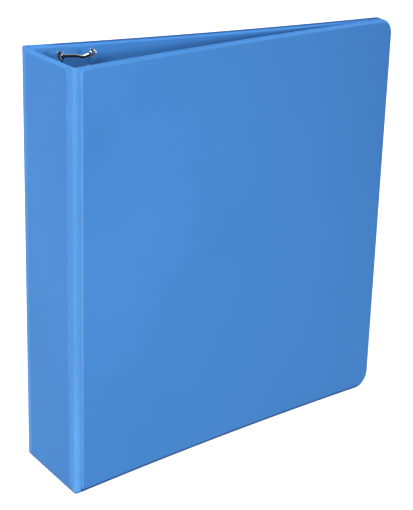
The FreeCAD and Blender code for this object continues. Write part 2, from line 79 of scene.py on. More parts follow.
def newPiece(name, shells, sharpAngle=50.0, mergeWithin=None):
    # each shell is closed: its points (n, 3) in metres, a list of face blocks, and a value per point for
    # each named attribute; a shell whose faces look inwards is turned round
    mesh = bpy.data.meshes.new(name)
    allPoints, allFaces, columns = [], [], {key: [] for shell in shells for key in shell[2]}
    count = 0
    for points, faces, floats in shells:
        volume = 0.0
        for block in faces:
            for k in range(1, block.shape[1] - 1):
                a, b, c = points[block[:, 0]], points[block[:, k]], points[block[:, k + 1]]
                volume += float(np.einsum("ij,ij->i", a, np.cross(b, c)).sum())
        for block in faces:
            block = block + count if volume > 0 else block[:, ::-1] + count
            allFaces += block.tolist()
        for key, column in columns.items():
            column.append(np.asarray(floats.get(key, np.zeros(len(points))), dtype=np.float32).reshape(-1))
        allPoints.append(points)
        count += len(points)
    mesh.from_pydata(np.vstack(allPoints).tolist(), [], allFaces)
    for key, column in columns.items():
        mesh.attributes.new(key, "FLOAT", "POINT").data.foreach_set("value", np.concatenate(column))
    if mergeWithin:
        work = bmesh.new()
        work.from_mesh(mesh)
        bmesh.ops.remove_doubles(work, verts=work.verts, dist=mergeWithin)
        work.to_mesh(mesh)
        work.free()
    mesh.validate()
    mesh.shade_smooth()
    mesh.set_sharp_from_angle(angle=math.radians(sharpAngle))
    piece = bpy.data.objects.new(name, mesh)
    bpy.context.scene.collection.objects.link(piece)
    return piece


def gridFaces(rows, columns, wrapColumns=False):
    # quads of a rows by columns grid, its last column joined to its first on request
    index = np.arange(rows * columns).reshape(rows, columns)
    if wrapColumns:
        index = np.hstack([index, index[:, :1]])
    corners = (index[:-1, :-1], index[:-1, 1:], index[1:, 1:], index[1:, :-1])
    return np.stack(corners, -1).reshape(-1, 4)


def tubeShell(grid, **floats):
    # rows of closed rings; each end closes on the middle of its last ring
    rows, columns = grid.shape[:2]
    points = np.vstack([grid.reshape(-1, 3), grid[0].mean(0), grid[-1].mean(0)])
    index = np.arange(rows * columns).reshape(rows, columns)
    first, last = index[0], index[-1]
    near = np.stack([np.roll(first, -1), first, np.full(columns, rows * columns)], -1)
    far = np.stack([last, np.roll(last, -1), np.full(columns, rows * columns + 1)], -1)
    floats = {key: np.append(value.reshape(-1), [value[0].mean(), value[-1].mean()])
              for key, value in floats.items()}
    return points, [gridFaces(rows, columns, wrapColumns=True), near, far], floats


def sheetShell(front, back, **floats):
    # two matching grids joined round their border; each float is a pair of grids, or one for both
    rows, columns = front.shape[:2]
    count = rows * columns
    points = np.vstack([front.reshape(-1, 3), back.reshape(-1, 3)])
    index = np.arange(count).reshape(rows, columns)
    quads = gridFaces(rows, columns)
    faces = [quads, quads[:, ::-1] + count]
    for line in (index[0], index[:, -1], index[-1][::-1], index[:, 0][::-1]):
        faces.append(np.stack([line[1:], line[:-1], line[:-1] + count, line[1:] + count], -1))
    both = {key: value if isinstance(value, tuple) else (value, value) for key, value in floats.items()}
    both = {key: np.concatenate([np.broadcast_to(part, (rows, columns)).reshape(-1) for part in pair])
            for key, pair in both.items()}
    return points, faces, both


def finishPiece(piece, body, material, nodes):
    # body, replaced nodes, slot and look of a new piece
    if body:
        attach(piece, body)
    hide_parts(*nodes)
    piece.data.materials.clear()
    piece.data.materials.append(material)
    return piece


class NodeTree:
    # a short way to add and join shader nodes
    def __init__(self, name):
        self.material = bpy.data.materials.new(name)
        self.material.use_nodes = True
        self.nodes = self.material.node_tree.nodes
        self.links = self.material.node_tree.links
        self.shader = self.nodes["Principled BSDF"]
        self.place = self.nodes.new("ShaderNodeTexCoord").outputs["Object"]

    def add(self, kind, inputs=None, **settings):
        node = self.nodes.new("ShaderNode" + kind)
        for key, value in settings.items():
            setattr(node, key, value)
        for key, value in (inputs or {}).items():
            self.set(node.inputs[key], value)
        return node

    def set(self, socket, value):
        if isinstance(value, bpy.types.NodeSocket):
            self.links.new(value, socket)
        else:
            socket.default_value = value

    def noise(self, scale, detail=2.0, roughness=0.5, stretch=None):
        place = self.place
        if stretch:
            place = self.add("Mapping", {"Vector": place, "Scale": stretch}).outputs["Vector"]
        inputs = {"Vector": place, "Scale": scale, "Detail": detail, "Roughness": roughness}
        return self.add("TexNoise", inputs).outputs["Fac"]

    def range(self, value, low, high, start=0.0, end=1.0):
        inputs = {"Value": value, "From Min": start, "From Max": end, "To Min": low, "To Max": high}
        return self.add("MapRange", inputs).outputs["Result"]

    def math(self, operation, a, b=0.0):
        return self.add("Math", {0: a, 1: b}, operation=operation).outputs[0]

    def mixColour(self, share, a, b, blend="MIX"):
        node = self.add("Mix", {"Factor": share}, data_type="RGBA", blend_type=blend)
        self.set(node.inputs["A"], a)
        self.set(node.inputs["B"], b)
        return node.outputs["Result"]

    def bump(self, height, distance, strength=1.0, normal=None):
        inputs = {"Height": height, "Distance": distance, "Strength": strength}
        if normal:
            inputs["Normal"] = normal
        return self.add("Bump", inputs).outputs["Normal"]

    def attribute(self, name):
        return self.add("Attribute", attribute_name=name).outputs["Fac"]


def linear(red, green, blue):
    # display colour, 0 to 255, as the linear colour a shader takes
    shown = np.array([red, green, blue]) / 255.0
    curve = np.where(shown <= 0.04045, shown / 12.92, ((shown + 0.055) / 1.055) ** 2.4)
    return (*curve.tolist(), 1.0)


vinylValues = {
    "outer": (53, 103, 158),
    "inner": (58, 112, 171),
    "weld": (66, 116, 168),
    "pocket": (62, 118, 178),
    "rim": (98, 158, 222),
    "shade": (12, 38, 88),
    "roughness": {"outer": 0.48, "inner": 0.50, "weld": 0.46, "pocket": 0.44},
    "glossSpread": (-0.04, 0.05),
    "sheen": 0.02,
    "grainSize": 0.55 * mm,
    "grainDepth": 0.012 * mm,
    "sagDepth": 0.08 * mm,
    "cloudScale": 9.0,
    "hazeScale": 26.0,
    "sagScale": 34.0,
    "patchScale": 70.0,
    "speckScale": 900.0,
    "darkest": 0.965,
    "lightest": 1.03,
}


def vinylMaterial(name, look):
    # calendered vinyl: even colour and a fine grain; paler where worn and where a highlight is painted on
    # the upper rims; darker where shade is painted, at a few crease specks and along the fore edge
    v = vinylValues
    tree = NodeTree(name)
    colour, roughness = linear(*v[look])[:3], v["roughness"][look]
    cloud = tree.noise(v["cloudScale"], 3.0)
    deep = tuple(c * v["darkest"] for c in colour) + (1.0,)
    light = tuple(min(c * v["lightest"] + 0.002, 1.0) for c in colour) + (1.0,)
    base = tree.mixColour(tree.range(cloud, 0.0, 1.0, 0.3, 0.7), deep, light)
    specks = tree.noise(v["speckScale"], 2.0, 0.6)
    base = tree.mixColour(tree.range(specks, 0.0, 0.14, 0.62, 0.78), base, light)
    patchy = tree.range(tree.noise(v["patchScale"], 4.0), 0.6, 1.0, 0.3, 0.65)
    rubbed = tree.math("MULTIPLY", tree.attribute("rubbed"), patchy)
    base = tree.mixColour(rubbed, base, linear(*v["rim"]))
    even = tree.range(cloud, 0.94, 1.0, 0.3, 0.7)
    shaded = tree.math("MULTIPLY", tree.attribute("shaded"), even)
    base = tree.mixColour(shaded, base, linear(*v["shade"]))
    tree.set(tree.shader.inputs["Base Color"], base)
    low, high = (roughness + spread for spread in v["glossSpread"])
    haze = tree.range(tree.noise(v["hazeScale"], 5.0, 0.65), low, high, 0.25, 0.75)
    tree.set(tree.shader.inputs["Roughness"], haze)
    tree.set(tree.shader.inputs["Specular IOR Level"], v["sheen"])
    cells = {"Vector": tree.place, "Scale": 1.0 / v["grainSize"], "Randomness": 1.0}
    grain = tree.add("TexVoronoi", cells, feature="SMOOTH_F1").outputs["Distance"]
    normal = tree.bump(grain, v["grainDepth"], 0.55)
    sag = tree.noise(v["sagScale"], 2.0, 0.4, stretch=(1.0, 1.0, 0.45))
    tree.set(tree.shader.inputs["Normal"], tree.bump(sag, v["sagDepth"], 0.3, normal))
    return tree.material


metalValues = {
    "nickel": (0.80, 0.81, 0.83),
    "zinc": (0.60, 0.61, 0.63),
    "plate": (0.46, 0.47, 0.49),
    "pin": (0.20, 0.21, 0.23),
    "roughness": {"nickel": 0.10, "zinc": 0.30, "plate": 0.20, "pin": 0.30},
    "scratch": {"nickel": 0.004 * mm, "zinc": 0.008 * mm, "plate": 0.004 * mm, "pin": 0.004 * mm},
    "paintedShade": (0.030, 0.040, 0.042, 1.0),
    "dullest": 0.86,
    "ripple": 0.03 * mm,
    "rippleScale": 60.0,
    "smearScale": 140.0,
    "scratchScale": 700.0,
}


def metalMaterial(name, look):
    # plated steel: polish that varies a little, hairline scratches, a faint ripple, and painted shade where
    # "shaded"
    v = metalValues
    tree = NodeTree(name)
    roughness = v["roughness"][look]
    tree.set(tree.shader.inputs["Metallic"], 1.0)
    smear = tree.noise(v["smearScale"], 4.0, 0.6)
    bright, dull = v[look] + (1.0,), tuple(c * v["dullest"] for c in v[look]) + (1.0,)
    base = tree.mixColour(tree.range(smear, 0.0, 0.5, 0.45, 0.8), bright, dull)
    base = tree.mixColour(tree.attribute("shaded"), base, v["paintedShade"])
    tree.set(tree.shader.inputs["Base Color"], base)
    scratch = tree.noise(v["scratchScale"], 3.0, 0.7, stretch=(1.0, 1.0, 0.06))
    polish = tree.math("ADD", tree.range(smear, roughness * 0.8, roughness * 1.5, 0.3, 0.8),
                       tree.range(scratch, 0.0, 0.06, 0.6, 0.75))
    tree.set(tree.shader.inputs["Roughness"], polish)
    normal = tree.bump(scratch, v["scratch"][look], 0.4)
    ripple = tree.bump(tree.noise(v["rippleScale"], 1.0), v["ripple"], 0.4, normal)
    tree.set(tree.shader.inputs["Normal"], ripple)
    return tree.material


boardValues = {
    "dark": (122, 114, 102),
    "light": (156, 148, 134),
    "fibreDepth": 0.05 * mm,
    "fibreScale": 420.0,
}


def boardMaterial():
    # grey pulp board: matted fibres and flecks
    v = boardValues
    tree = NodeTree("greyPulpBoard")
    fibre = tree.noise(v["fibreScale"], 5.0, 0.7, stretch=(1.0, 1.0, 0.35))
    dark, light = linear(*v["dark"]), linear(*v["light"])
    colour = tree.mixColour(tree.range(fibre, 0.0, 1.0, 0.35, 0.7), dark, light)
    tree.set(tree.shader.inputs["Base Color"], colour)
    tree.set(tree.shader.inputs["Roughness"], tree.range(fibre, 0.8, 0.95))
    tree.set(tree.shader.inputs["Normal"], tree.bump(fibre, v["fibreDepth"], 0.6))
    return tree.material


outerVinyl = vinylMaterial("outerVinyl", "outer")
innerVinyl = vinylMaterial("innerVinyl", "inner")
weldVinyl = vinylMaterial("weldVinyl", "weld")
pocketVinyl = vinylMaterial("pocketVinyl", "pocket")
brightNickel = metalMaterial("brightNickel", "nickel")
zincSteel = metalMaterial("zincSteel", "zinc")
plateNickel = metalMaterial("plateNickel", "plate")
pinSteel = metalMaterial("pinSteel", "pin")
pulpBoard = boardMaterial()
print("materials made")


caseValues = {
    "coverWidth": 282.0 * mm,
    "foreGap": 5.4 * mm,
    "frontLean": 7.4,
    "frontBow": 3.3 * mm,
    "backBow": 5.2 * mm,
    "cornerRadius": 12.0 * mm,
    "boardCorner": 1.4 * mm,
    "coverFoldZone": 3.8 * mm,
    "spineFoldZone": 5.6 * mm,
    "foldRadius": 1.3 * mm,
    "weldWidth": 0.7 * mm,
    "shoulderWidth": 2.3 * mm,
    "weldThick": 0.4 * mm,
    "panelThick": 1.6 * mm,
    "boardHalf": 1.22 * mm,
    "cutEdge": 0.28 * mm,
    "sealGap": 0.01 * mm,
    "shoulderRound": 0.72,
    "webShoulderRound": 0.35,
    "webZone": (5.0 * mm, 3.0 * mm),
    "webEndZone": (2.8 * mm, 2.2 * mm),
    "topZone": (6.0 * mm, 4.0 * mm),
    "footZone": (3.4 * mm, 1.6 * mm),
    "foreZone": (2.6 * mm, 1.6 * mm),
    "sealZone": (1.3 * mm, 0.5 * mm),
    "foreFadeZone": (60.0 * mm, 50.0 * mm),
    "foreFade": 0.4,
    "rimHighlight": 0.085,
    "webWear": 0.17,
    "foreMark": 0.25,
    "topEdgeShadeZone": (22.0 * mm, 14.0 * mm),
    "foreShade": (0.175, 0.30),
    "topShade": 0.05,
    "topShadeZone": (0.45, 0.45),
}
caseHeight = cadBounds[1].z - cadBounds[0].z
hinges = ((-1, "front_cover_hinge"), (1, "back_cover_hinge"))
folds = {side: Vector(joints[name]["pos_m"]) for side, name in hinges}
spineWidth = folds[1].y - folds[-1].y
spineX = folds[1].x
leans = {-1: math.radians(caseValues["frontLean"])}
leans[1] = math.asin((spineWidth - caseValues["foreGap"]) / caseValues["coverWidth"] - math.sin(leans[-1]))
bows = {-1: caseValues["frontBow"], 1: caseValues["backBow"]}


def coverPanel(side):
    # a cover's own frame, from its fold along its lean, with its extent, edges, and the strength of the
    # painted shade on its rims
    angle = leans[side]
    return {
        "origin": np.array([spineX, folds[side].y, caseHeight / 2]),
        "along": np.array([math.cos(angle), -side * math.sin(angle), 0.0]),
        "inwards": np.array([-math.sin(angle), -side * math.cos(angle), 0.0]),
        "bow": bows[side],
        "near": caseValues["coverFoldZone"], "far": caseValues["coverWidth"],
        "nearWeld": 0.8, "farWeld": 1.0,
        "nearCorner": 0.0, "farCorner": caseValues["cornerRadius"],
        "bottomEdgeShade": 0.8, "topEdgeShade": 0.62 * (side > 0),
    }


def spinePanel():
    # the same for the spine, measured from its middle towards the front cover
    half = spineWidth / 2 - caseValues["spineFoldZone"]
    return {
        "origin": np.array([spineX, 0.0, caseHeight / 2]),
        "along": np.array([0.0, -1.0, 0.0]), "inwards": np.array([1.0, 0.0, 0.0]),
        "bow": 0.0, "near": -half, "far": half, "nearWeld": 0.8, "farWeld": 0.8,
        "nearCorner": 0.0, "farCorner": 0.0, "bottomEdgeShade": 0.35, "topEdgeShade": 0.0,
    }


def onPanel(panel, s, offset, z):
    # the point at s along the panel and z up, moved inwards by offset square to the middle surface;
    # a bowed panel's middle surface is an arc that meets its chord at both ends
    if panel["bow"]:
        width, bow = caseValues["coverWidth"], panel["bow"]
        radius = (width * width / 4 + bow * bow) / (2 * bow)
        angle = np.arcsin((s - width / 2) / radius)
        x = width / 2 + (radius + offset) * np.sin(angle)
        y = bow - radius + (radius + offset) * np.cos(angle)
    else:
        x, y = s, offset
    x, y, z = np.broadcast_arrays(x, y, z)
    x, y, z = (value[..., None] for value in (x, y, z))
    return panel["origin"] + x * panel["along"] + y * panel["inwards"] + z * np.array([0.0, 0.0, 1.0])


def outlineRing(panel, inset, sideSteps=64, arcSteps=12):
    # the panel's outline moved inwards: four straight sides joined by quarter circles, as (s, z)
    soft = caseValues["boardCorner"] * float(smoothRise(inset / (2.0 * caseValues["weldWidth"])))
    rNear = max(panel["nearCorner"] - inset, soft, 1e-6)
    rFar = max(panel["farCorner"] - inset, soft, 1e-6)
    left, right = panel["near"] + inset * panel["nearWeld"], panel["far"] - inset * panel["farWeld"]
    top = caseHeight / 2 - inset
    corners = ((left + rNear, -top + rNear, rNear, math.pi),
               (right - rFar, -top + rFar, rFar, 1.5 * math.pi),
               (right - rFar, top - rFar, rFar, 0.0),
               (left + rNear, top - rNear, rNear, 0.5 * math.pi))
    quarter = np.linspace(0.0, math.pi / 2, arcSteps)
    arcs = []
    for s, z, r, a in corners:
        arcs.append(np.stack([s + r * np.cos(a + quarter), z + r * np.sin(a + quarter)], -1))
    share = np.linspace(0.0, 1.0, sideSteps + 1)[1:-1, None]
    sides = [a[-1] + (b[0] - a[-1]) * share for a, b in zip(arcs, arcs[1:] + arcs[:1])]
    return np.vstack([block for pair in zip(arcs, sides) for block in pair])


def skinProfile():
    # from the middle of the face out over the soft shoulder and the narrow weld, round the cut edge, and
    # back underneath: (inset from the sealed edge, height over the panel's middle surface, the same beside
    # a hinge web, share of the rim band that takes wear, painted highlight and painted shade)
    v = caseValues
    weld, shoulder, low, high = v["weldWidth"], v["shoulderWidth"], v["weldThick"], v["panelThick"]
    edge, gap, board = v["cutEdge"], v["sealGap"], v["boardHalf"]
    crisp, gentle = v["shoulderRound"], v["webShoulderRound"]
    reaches = (9.0, 6.0, 4.0, 2.6, 1.6, 0.9, 0.45, 0.2)
    face = [(weld + shoulder + reach * mm, high, high, 0.0) for reach in reaches]
    # the shoulder is a quarter ellipse or, beside a web, a straight slope, each eased into the weld
    t = np.linspace(1.0, 0.0, 15)
    rise = crisp * np.sqrt(1.0 - (1.0 - t) ** 2) + (1.0 - crisp) * smoothRise(t)
    soft = gentle * t + (1.0 - gentle) * smoothRise(t)
    heights = [low + (high - low) * share for share in (rise, soft)]
    climb = np.column_stack([weld + shoulder * t, *heights, smoothRise((0.95 - t) / 0.5)])
    groove = [(weld * share, low, low, 1.0) for share in (0.8, 0.6)]
    angle = np.linspace(0.0, math.pi / 2, 6)
    height = low * np.cos(angle) + gap
    bevel = np.column_stack([edge * (1.0 - np.sin(angle)), height, height, np.ones(6)])
    under = [(weld * 0.6, gap), (weld + shoulder * 0.4, gap), (weld + shoulder * 0.75, board * 0.4),
             (weld + shoulder + 0.4 * mm, board), (weld + shoulder + 9.0 * mm, board)]
    return np.vstack([face, climb, groove, bevel, [(inset, rise, rise, 0.0) for inset, rise in under]])


def skin(name, panel, side, body, material, node):
    # the profile carried round the outline; inside it, rings shrink to the middle of the face
    profile = skinProfile()
    rings = [outlineRing(panel, inset) for inset in profile[:, 0]]
    middle = np.array([(panel["near"] + panel["far"]) / 2, 0.0])
    shares = np.linspace(0.06, 0.96, 15)
    inner = [middle + (rings[0] - middle) * k for k in shares]
    below = [middle + (rings[-1] - middle) * k for k in shares[::-1][::2]]
    rings = np.array(inner + rings + below)
    first, last = np.repeat(profile[:1], len(inner), 0), np.repeat(profile[-1:], len(below), 0)
    profile = np.vstack([first, profile, last])
    inset, square, soft, wear = (column[:, None] for column in profile.T)
    s, z = rings[..., 0], rings[..., 1]
    v, halfHeight, hasFore = caseValues, caseHeight / 2, panel["farCorner"] > 0
    # how far a point belongs to a side that meets a hinge web, and to the upper, lower and fore edges
    besideWeb = within(s - panel["near"], v["webZone"])
    if not hasFore:
        besideWeb = np.maximum(besideWeb, within(panel["far"] - s, v["webZone"]))
    besideWeb = besideWeb * (1.0 - within(halfHeight - np.abs(z), v["webEndZone"]))
    grid = onPanel(panel, s, side * (square + (soft - square) * besideWeb), z)
    nearTop = within(halfHeight - z, v["topZone"])
    nearBottom = within(halfHeight + z, v["footZone"])
    nearFore = within(panel["far"] - s, v["foreZone"]) * hasFore
    # the upper rim gets a painted highlight, less so towards the fore corner; the lower rim gets painted
    # shade
    fade = 1.0 - v["foreFade"] * within(panel["far"] - s, v["foreFadeZone"]) * hasFore
    rubbed = wear * np.maximum(nearTop * fade * v["rimHighlight"], besideWeb * v["webWear"])
    shaded = np.maximum(wear * nearBottom * panel["bottomEdgeShade"], wear * nearFore * v["foreMark"])
    # the back cover's sealed upper edge carries painted shade from a little beyond the web onwards
    fromWeb = 1.0 - within(s - panel["near"], v["topEdgeShadeZone"])
    shaded = np.maximum(shaded, within(inset, v["sealZone"]) * nearTop * panel["topEdgeShade"] * fromWeb)
    # painted shade: the whole face darkens a little towards the fore edge, more so higher up, and towards
    # its top
    rise, (low, high) = z / caseHeight + 0.5, v["foreShade"]
    shadeGradient = np.clip((s - panel["near"]) / v["coverWidth"], 0.0, 1.0) ** 1.5 * (low + (high - low) * rise)
    shadeGradient = shadeGradient + v["topShade"] * within(1.0 - rise, v["topShadeZone"])
    shell = tubeShell(grid, rubbed=rubbed, shaded=np.maximum(shaded, shadeGradient * (1.0 - wear * nearTop)))
    return finishPiece(newPiece(name, [shell]), body, material, [node])


panels = {"front": coverPanel(-1), "back": coverPanel(1), "spine": spinePanel()}
bodies = {"front": "front_cover", "back": "back_cover", "spine": "spine"}
for which, panel in panels.items():
    skin(which + "OuterSkin", panel, -1, bodies[which], outerVinyl, which + "_outer_skin")
    skin(which + "Lining", panel, 1, bodies[which], innerVinyl, which + "_lining")
    board = frame["nodes"][which + "_board"]
    board.data.materials.clear()
    board.data.materials.append(pulpBoard)
print("skins made")


webValues = {
    "tuck": 0.45 * mm,
    "tuckThick": 0.26 * mm,
    "ribPitch": 2.3 * mm,
    "ribDepth": 0.2 * mm,
    "ribSlant": -0.8,
    "ribSpineSide": 1.4 * mm,
    "ribCoverSide": 3.9 * mm,
    "ribEnd": 0.8 * mm,
    "ribWobble": 0.35 * mm,
    "wobbleWaves": (3.9 * mm, 17.0 * mm),
    "depthWaves": (7.1 * mm, 23.0 * mm),
    "ribFaint": 0.35,
    "ribShade": 0.075,
    "ribWear": 0.3,
    "plainWear": 0.05,
    "strongUpTo": 0.36,
    "strongFade": 0.2,
    "rowsPerRib": 6,
    "columns": 36,
    "upperDarkening": 0.13,
    "webFootShade": 0.4,
    "footZone": (2.2 * mm, 1.6 * mm),
    "creaseMark": 0.75,
    "creaseDown": 2.2 * mm,
    "creaseSpread": 1.2 * mm,
    "creaseWaves": (0.62 * mm, 0.55 * mm, 0.9 * mm),
    "cutRound": 0.25 * mm,
    "puckerReach": 3.5 * mm,
    "puckerPitch": 4.4 * mm,
    "puckerDepth": 0.22 * mm,
}


def hingeWeb(name, side, node):
    # a strip along the fold: straight, round a small arc, straight again, with slanted ribs pressed into
    # its outer face; both faces draw together at the two cut ends
    v = webValues
    lean, radius = leans[side], caseValues["foldRadius"]
    turn = math.pi / 2 + lean
    tangent = radius * math.tan(turn / 2)
    spineRun = caseValues["spineFoldZone"] + v["tuck"] - tangent
    coverRun = caseValues["coverFoldZone"] + v["tuck"] - tangent
    arc = radius * turn
    total = spineRun + arc + coverRun
    q = np.linspace(0.0, total, v["columns"])
    fold = np.array([spineX, folds[side].y])
    spineWay, spineIn = np.array([0.0, -side]), np.array([1.0, 0.0])
    coverWay = np.array([math.cos(lean), -side * math.sin(lean)])
    centre = fold + spineWay * tangent + spineIn * radius
    angle = np.clip((q - spineRun) / radius, 0.0, turn)[:, None]
    outward = -spineIn * np.cos(angle) - spineWay * np.sin(angle)
    onArc = centre + outward * radius
    before = np.minimum(q - spineRun, 0.0)[:, None] * -spineWay
    after = np.maximum(q - spineRun - arc, 0.0)[:, None] * coverWay
    middle = onArc + before + after

    fromFold = q - spineRun - arc / 2
    ribs = int(caseHeight / v["ribPitch"]) * v["rowsPerRib"]
    lip = np.array([0.0, 0.24, 1.0]) * v["cutRound"]
    edge = 2.0 * v["cutRound"]
    z = np.concatenate([lip, np.linspace(edge, caseHeight - edge, ribs), caseHeight - lip[::-1]])
    fromEnd = np.minimum(z, caseHeight - z)[:, None]
    closing = np.sqrt(np.clip(fromEnd / v["cutRound"], 0.0, 1.0))
    ends = smoothRise(np.minimum(q, total - q) / (1.2 * v["tuck"]))
    half = v["tuckThick"] + (caseValues["weldThick"] - v["tuckThick"]) * ends
    pastStart, beforeEnd = fromFold + v["ribSpineSide"], v["ribCoverSide"] - fromFold
    band = smoothRise(pastStart / v["ribEnd"]) * smoothRise(beforeEnd / v["ribEnd"])
    up, (short, long) = z[:, None], v["wobbleWaves"]
    wobble = v["ribWobble"] * np.sin(up / short) * np.sin(up / long)
    phase = 2 * math.pi * (up + v["ribSlant"] * fromFold + wobble) / v["ribPitch"]
    wave = (0.5 - 0.5 * np.cos(phase)) ** 1.6
    short, long = v["depthWaves"]
    wander = 0.75 + 0.25 * np.sin(up / long) * np.sin(up / short + 1.0)
    gather = np.sin(2 * math.pi * fromFold / v["puckerPitch"] + 0.8)
    pucker = np.exp(-(fromEnd / v["puckerReach"]) ** 2) * gather
    # the ribs are strongest in the lower third
    lowDown = within(up / caseHeight, (v["strongUpTo"], v["strongFade"]))
    strength = v["ribFaint"] + (1.0 - v["ribFaint"]) * lowDown
    pressed = v["ribDepth"] * band * wave * wander * strength
    outer = (half - pressed - v["puckerDepth"] * pucker ** 2 * band) * closing
    inner = np.broadcast_to(half, outer.shape) * closing

    def face(offset):
        plan = middle[None] + outward[None] * offset[..., None]
        return np.concatenate([plan, np.broadcast_to(z[:, None, None], (*offset.shape, 1))], -1)

    grid = np.concatenate([face(outer), face(-inner)[:, ::-1]], 1)
    wear = (v["plainWear"] + band * v["ribWear"] * (1.0 - wave)) * strength
    # small specks where the sheet is gathered at its upper end, painted shade in the rib valleys, a darker
    # upper part and painted shade along the foot
    fromTop = caseHeight - up
    wide, high, slant = v["creaseWaves"]
    weave = np.sin(fromFold / wide) * np.sin(fromTop / high + fromFold / slant)
    speck = smoothRise(weave * 2.0 - 1.0)
    creaseSpecksAndShade = v["creaseMark"] * np.exp(-((fromTop - v["creaseDown"]) / v["creaseSpread"]) ** 2) * speck
    creaseSpecksAndShade = np.maximum(creaseSpecksAndShade, band * wave * strength * v["ribShade"])
    creaseSpecksAndShade = np.maximum(creaseSpecksAndShade, v["upperDarkening"] * (1.0 - strength))
    creaseSpecksAndShade = np.maximum(creaseSpecksAndShade, v["webFootShade"] * within(up, v["footZone"]))
    rubbed = np.concatenate([wear, np.zeros_like(inner)], 1)
    shaded = np.concatenate([creaseSpecksAndShade, np.zeros_like(inner)], 1)
    shell = (grid.reshape(-1, 3), [gridFaces(*grid.shape[:2], wrapColumns=True)],
             {"rubbed": rubbed.reshape(-1), "shaded": shaded.reshape(-1)})
    piece = newPiece(name, [shell], mergeWithin=1e-7)
    last = middle[-1]
    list(last)
    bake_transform(piece)
    return finishPiece(piece, None, weldVinyl, [node])


hingeWeb("frontHingeWeb", -1, "front_hinge_web")
hingeWeb("backHingeWeb", 1, "back_hinge_web")
print("hinge webs made")


pocketValues = {
    "height": 138.0 * mm,
    "margin": 7.0 * mm,
    "weld": 3.0 * mm,
    "weldRise": 0.35 * mm,
    "sheetRise": 0.75 * mm,
    "gape": 0.55 * mm,
    "gapeFrom": 0.55,
    "ripple": 0.08 * mm,
    "rippleWave": 31.0 * mm,
    "slope": 2.2 * mm,
    "edgeRound": 0.3 * mm,
    "clear": 0.02 * mm,
    "thick": 0.25 * mm,
    "weldWear": 0.35,
    "backNear": 57.9 * mm,
}


def pocket(name, panel, near, body, node):
    # a sheet over the lining: flat where it is welded on three sides, lifted between, gaping a little at
    # its upper edge
    v = pocketValues
    far, bottom = panel["far"] - v["margin"], -caseHeight / 2 + v["margin"]
    rim = np.array([0.0, 0.15, 0.4, 1.0, 2.0, 2.8, 3.2, 3.8, 4.8, 6.5]) * mm
    s = np.concatenate([near + rim, np.linspace(near + 9.0 * mm, far - 9.0 * mm, 48), (far - rim)[::-1]])
    tall = v["height"]
    up = np.concatenate([rim, np.linspace(9.0 * mm, tall - 1.0 * mm, 36), [tall - 0.3 * mm, tall]])
    inset = np.minimum(np.minimum(s - near, far - s)[None, :], up[:, None])
    lifted = smoothRise((inset - v["weld"]) / v["slope"])
    across = np.clip((s - near) / (far - near), 0, 1)[None, :]
    gaping = smoothRise((up[:, None] / tall - v["gapeFrom"]) / (1.0 - v["gapeFrom"]))
    slack = np.sin(math.pi * across) * gaping
    ripple = v["ripple"] * np.sin(across * 9.0 + up[:, None] / v["rippleWave"]) * lifted
    edge = np.sqrt(np.clip(inset / v["edgeRound"], 0.0, 1.0))
    rise = v["weldRise"] + (v["sheetRise"] - v["weldRise"]) * lifted + v["gape"] * slack * lifted + ripple
    face = caseValues["panelThick"]
    top = face + v["clear"] + (rise - v["clear"]) * np.maximum(edge, 0.1)
    lip = np.where(up[:, None] > tall - 0.1 * mm, 0.5, 1.0)
    under = np.maximum(top - v["thick"] * lip, face + v["clear"] / 2)
    z = bottom + up
    wear = v["weldWear"] * (1.0 - lifted)
    front = onPanel(panel, s[None, :], top, z[:, None])
    back = onPanel(panel, s[None, :], under, z[:, None])
    shell = sheetShell(front, back, rubbed=(wear, 0.0))
    return finishPiece(newPiece(name, [shell]), body, pocketVinyl, [node])


frontNear = caseValues["coverFoldZone"] + pocketValues["margin"]
pocket("frontPocket", panels["front"], frontNear, "front_cover", "front_pocket")
pocket("backPocket", panels["back"], pocketValues["backNear"], "back_cover", "back_pocket")
print("pockets made")


def polishedCopy(name, node, body, material):
    # the node's own shape with its doubles merged and smooth shading
    mesh = frame["nodes"][node].data.copy()
    mesh.name = name
    work = bmesh.new()
    work.from_mesh(mesh)
    bmesh.ops.remove_doubles(work, verts=work.verts, dist=2e-6)
    work.to_mesh(mesh)
    work.free()
    mesh.shade_smooth()
    mesh.set_sharp_from_angle(angle=math.radians(32))
    piece = bpy.data.objects.new(name, mesh)
    bpy.context.scene.collection.objects.link(piece)
    return finishPiece(piece, body, material, [node])


polishedCopy("ringCoverPlate", "ring_cover_plate", "back_cover", plateNickel)
# the lever pins take a dark metal: painted shade that keeps their ends from shining
for where in ("upper", "lower"):
    polishedCopy(where + "Rivet", where + "_rivet", "back_cover", brightNickel)
    polishedCopy(where + "LeverPin", where + "_lever_pin", "back_cover", pinSteel)
polishedCopy("spineSideBlade", "spine_side_blade", "spine_side_carrier", zincSteel)
polishedCopy("foreSideBlade", "fore_side_blade", "fore_side_carrier", zincSteel)
for where in ("upper", "middle", "lower"):
    curved, post = where + "_ring_curved_half", where + "_ring_post_half"
    polishedCopy(where + "RingCurvedHalf", curved, "spine_side_carrier", brightNickel)
    polishedCopy(where + "RingPostHalf", post, "fore_side_carrier", brightNickel)
print("ring mechanism made")


